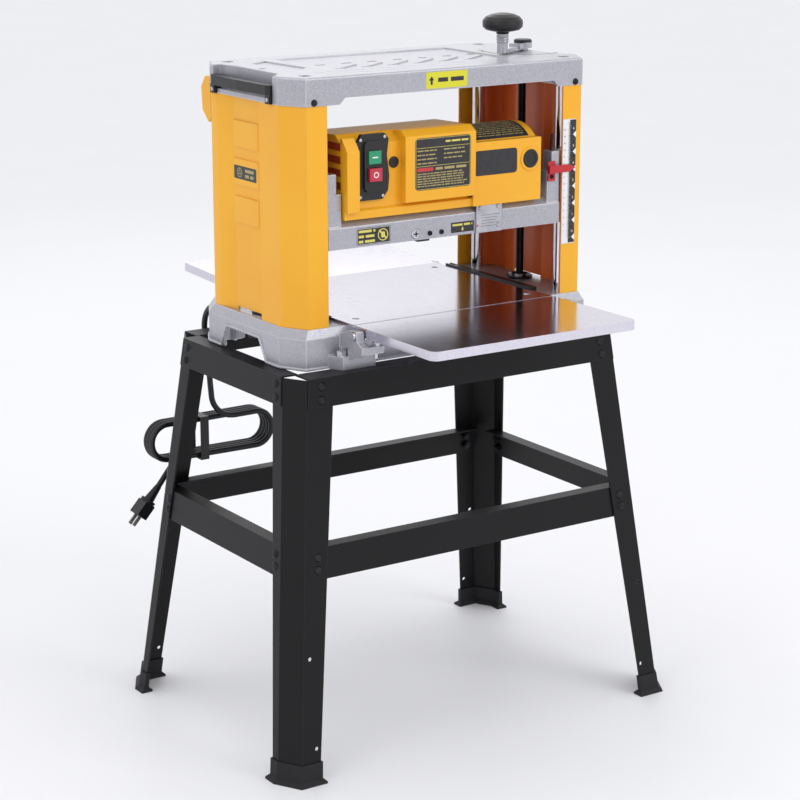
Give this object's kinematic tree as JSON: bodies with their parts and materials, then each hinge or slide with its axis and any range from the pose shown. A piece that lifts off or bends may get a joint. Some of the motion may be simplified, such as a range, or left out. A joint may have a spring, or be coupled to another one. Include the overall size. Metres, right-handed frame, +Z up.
{
  "type": "thickness planer",
  "caption": "Benchtop thickness planer on an open steel stand: motor carriage between yellow side covers, raised by a top crank over a table with folding extensions.",
  "frame": {"origin": "middle of the stand's footprint, on the floor", "axes": "+Z up; -Y is the infeed side, where boards go in; +X is the side with the crank and the depth scale"},
  "size_m": [0.696, 0.696, 1.0292],
  "materials": {
    "stand_paint": "semi-gloss powder coat",
    "foot_rubber": "matt",
    "zinc_bolt": "bright zinc",
    "black_bolt": "black oxide",
    "silver_casting": "speckled silver paint",
    "table_steel": "polished",
    "black_plastic": "fine texture",
    "column_chrome": "ground and plated",
    "yellow_plastic": "satin ABS",
    "scale_plate": "printed",
    "screw_steel": "oiled black",
    "crank_metal": "satin",
    "motor_black": "satin",
    "green_button": "gloss",
    "red_button": "gloss",
    "cutter_steel": "machined",
    "roller_rubber": "matt",
    "pointer_red": "satin",
    "cord_pvc": "satin jacket"
  },
  "bodies": {
    "frame": {"leg_fl": "stand_paint", "leg_fr": "stand_paint", "leg_rl": "stand_paint", "leg_rr": "stand_paint", "foot_fl": "foot_rubber", "foot_fr": "foot_rubber", "foot_rl": "foot_rubber", "foot_rr": "foot_rubber", "rail_front": "stand_paint", "rail_rear": "stand_paint", "rail_left": "stand_paint", "rail_right": "stand_paint", "brace_front": "stand_paint", "brace_rear": "stand_paint", "brace_left": "stand_paint", "brace_right": "stand_paint", "stand_bolts": "black_bolt", "base_casting": "silver_casting", "base_table": "table_steel", "side_strips": "black_plastic", "base_bolts": "zinc_bolt", "column_fl": "column_chrome", "column_fr": "column_chrome", "column_rl": "column_chrome", "column_rr": "column_chrome", "cover_left": "yellow_plastic", "cover_right": "yellow_plastic", "top_casting": "silver_casting", "top_screws": "black_bolt", "handle_left": "black_plastic", "handle_right": "black_plastic", "depth_scale": "scale_plate", "drive_chain": "screw_steel", "hinge_pins": "zinc_bolt", "stop_screws": "zinc_bolt", "cord_gland": "black_plastic", "cord_lead": "cord_pvc", "cord_hank": "cord_pvc", "cord_tie": "black_plastic", "cord_tail": "cord_pvc", "plug": "black_plastic"},
    "infeed_table": {"infeed_table": "table_steel"},
    "outfeed_table": {"outfeed_table": "table_steel"},
    "left_screw": {"lead_screw_left": "screw_steel"},
    "crank": {"lead_screw_right": "screw_steel", "crank_arm": "crank_metal", "crank_cap": "black_plastic"},
    "knob": {"crank_knob": "black_plastic"},
    "carriage": {"carriage": "silver_casting", "motor_cover": "yellow_plastic", "motor": "motor_black", "switch_plate": "black_plastic", "gauge_plate": "crank_metal", "height_pointer": "pointer_red"},
    "start_button": {"start_button": "green_button"},
    "stop_button": {"stop_button": "red_button"},
    "cutterhead": {"cutterhead": "cutter_steel"},
    "infeed_roller": {"infeed_roller": "roller_rubber"},
    "outfeed_roller": {"outfeed_roller": "roller_rubber"},
    "gauge_bar": {"gauge_bar": "black_plastic"}
  },
  "joints": [
    {"name": "crank_turn", "type": "hinge", "parent": "frame", "child": "crank", "pos_m": [0.226, 0, 0.968], "axis": [0, 0, 1], "range_deg": [-9025, 17845]},
    {"name": "knob_spin", "type": "hinge", "parent": "crank", "child": "knob", "pos_m": [0.16419, -0.03286, 0.999], "axis": [0, 0, 1], "continuous": true},
    {"name": "left_screw_turn", "type": "hinge", "parent": "frame", "child": "left_screw", "pos_m": [-0.226, 0, 0.779], "axis": [0, 0, 1], "range_deg": [-9025, 17845]},
    {"name": "carriage_lift", "type": "slide", "parent": "frame", "child": "carriage", "axis": [0, 0, 1], "range_m": [-0.0991, 0.0501]},
    {"name": "infeed_fold", "type": "hinge", "parent": "frame", "child": "infeed_table", "pos_m": [0, -0.174, 0.6145], "axis": [-1, 0, 0], "range_deg": [0, 88]},
    {"name": "outfeed_fold", "type": "hinge", "parent": "frame", "child": "outfeed_table", "pos_m": [0, 0.174, 0.6145], "axis": [1, 0, 0], "range_deg": [0, 85]},
    {"name": "cutter_spin", "type": "hinge", "parent": "carriage", "child": "cutterhead", "pos_m": [0, 0, 0.7515], "axis": [1, 0, 0], "continuous": true},
    {"name": "infeed_roller_spin", "type": "hinge", "parent": "carriage", "child": "infeed_roller", "pos_m": [0, -0.062, 0.7435], "axis": [1, 0, 0], "continuous": true},
    {"name": "outfeed_roller_spin", "type": "hinge", "parent": "carriage", "child": "outfeed_roller", "pos_m": [0, 0.062, 0.7435], "axis": [1, 0, 0], "continuous": true},
    {"name": "start_press", "type": "slide", "parent": "carriage", "child": "start_button", "axis": [0, 1, 0], "range_m": [0, 0.003], "stiffness_N_per_m": 600, "springref_m": -0.002},
    {"name": "stop_press", "type": "slide", "parent": "carriage", "child": "stop_button", "axis": [0, 1, 0], "range_m": [0, 0.003], "stiffness_N_per_m": 600, "springref_m": -0.002},
    {"name": "gauge_lift", "type": "slide", "parent": "carriage", "child": "gauge_bar", "axis": [0, 0, 1], "range_m": [0, 0.003], "stiffness_N_per_m": 200, "springref_m": -0.003}
  ],
  "couplings": [
    {"joint": "crank_turn", "follows": "carriage_lift", "rad_per_m": -3141.6},
    {"joint": "left_screw_turn", "follows": "carriage_lift", "rad_per_m": -3141.6},
    {"joint": "infeed_roller_spin", "follows": "cutter_spin", "ratio": -0.006},
    {"joint": "outfeed_roller_spin", "follows": "cutter_spin", "ratio": -0.006}
  ]
}
